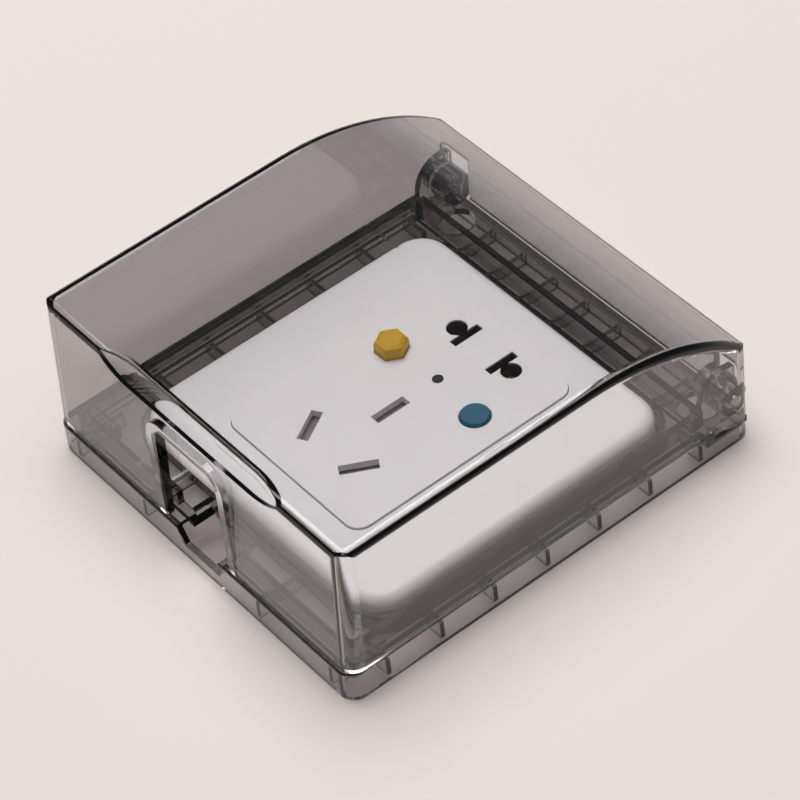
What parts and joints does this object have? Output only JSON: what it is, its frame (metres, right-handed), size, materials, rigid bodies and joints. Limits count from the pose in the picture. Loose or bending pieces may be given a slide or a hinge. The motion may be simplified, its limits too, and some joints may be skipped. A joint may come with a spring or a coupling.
{
  "type": "splash-proof wall socket cover",
  "caption": "Splash-proof cover with a hinged clear smoke-grey lid over a white square wall socket with a yellow reset button and a teal test button.",
  "frame": {"origin": "centre of the bounding box, on the plane that lies against the wall", "axes": "+Z out of the wall, +Y towards the hinge, +X to the right of someone facing the cover with its hinge up"},
  "size_m": [0.1096, 0.118, 0.0456],
  "materials": {
    "smoke_clear": "clear smoke-grey polycarbonate, polished",
    "white_plastic": "white moulded plastic, satin",
    "grey_plastic": "mid-grey moulded plastic",
    "dark_plastic": "black moulded plastic",
    "yellow_plastic": "yellow moulded plastic",
    "teal_plastic": "teal moulded plastic",
    "pin_steel": "plain steel",
    "brass": "rolled brass strip",
    "foam": "closed-cell foam",
    "board_green": "green circuit board laminate",
    "lamp_red": "small red lamp"
  },
  "bodies": {
    "base": {"base_frame": "smoke_clear", "wall_gasket": "foam", "mounting_frame": "white_plastic", "cover_plate": "white_plastic", "socket_face": "white_plastic", "rear_housing": "white_plastic", "contact_shelf": "dark_plastic", "live_contact": "brass", "neutral_contact": "brass", "earth_contact": "brass", "live_terminal_screw": "pin_steel", "neutral_terminal_screw": "pin_steel", "earth_terminal_screw": "pin_steel", "live_shutter_spring": "pin_steel", "neutral_shutter_spring": "pin_steel", "reset_spring": "pin_steel", "test_spring": "pin_steel", "circuit_board": "board_green", "indicator_lamp": "lamp_red", "indicator_lens": "dark_plastic", "face_screw_1": "pin_steel", "face_screw_2": "pin_steel", "face_screw_3": "pin_steel", "face_screw_4": "pin_steel", "hinge_pin_left": "pin_steel", "hinge_pin_right": "pin_steel", "earth_shutter_spring": "pin_steel"},
    "lid": {"lid": "smoke_clear"},
    "reset": {"reset_button": "yellow_plastic"},
    "test": {"test_button": "teal_plastic"},
    "live_leaf": {"live_shutter": "grey_plastic"},
    "neutral_leaf": {"neutral_shutter": "grey_plastic"},
    "earth_leaf": {"earth_shutter": "grey_plastic"}
  },
  "joints": [
    {"name": "lid_hinge", "type": "hinge", "parent": "base", "child": "lid", "pos_m": [0, 0.0544, 0.0132], "axis": [-1, 0, 0], "range_deg": [0, 110]},
    {"name": "reset_press", "type": "slide", "parent": "base", "child": "reset", "axis": [0, 0, -1], "range_m": [0, 0.0024], "stiffness_N_per_m": 250, "springref_m": -0.002, "deforming": ["reset_spring"]},
    {"name": "test_press", "type": "slide", "parent": "base", "child": "test", "axis": [0, 0, -1], "range_m": [0, 0.0009], "stiffness_N_per_m": 250, "springref_m": -0.002, "deforming": ["test_spring"]},
    {"name": "live_shutter_slide", "type": "slide", "parent": "base", "child": "live_leaf", "axis": [-0.866, -0.5, 0], "range_m": [0, 0.0034], "stiffness_N_per_m": 60, "springref_m": -0.002, "deforming": ["live_shutter_spring"]},
    {"name": "neutral_shutter_slide", "type": "slide", "parent": "base", "child": "neutral_leaf", "axis": [0.866, -0.5, 0], "range_m": [0, 0.0034], "stiffness_N_per_m": 60, "springref_m": -0.002, "deforming": ["neutral_shutter_spring"]},
    {"name": "earth_shutter_slide", "type": "slide", "parent": "base", "child": "earth_leaf", "axis": [1, 0, 0], "range_m": [0, 0.0034], "stiffness_N_per_m": 60, "springref_m": -0.002, "deforming": ["earth_shutter_spring"]}
  ]
}
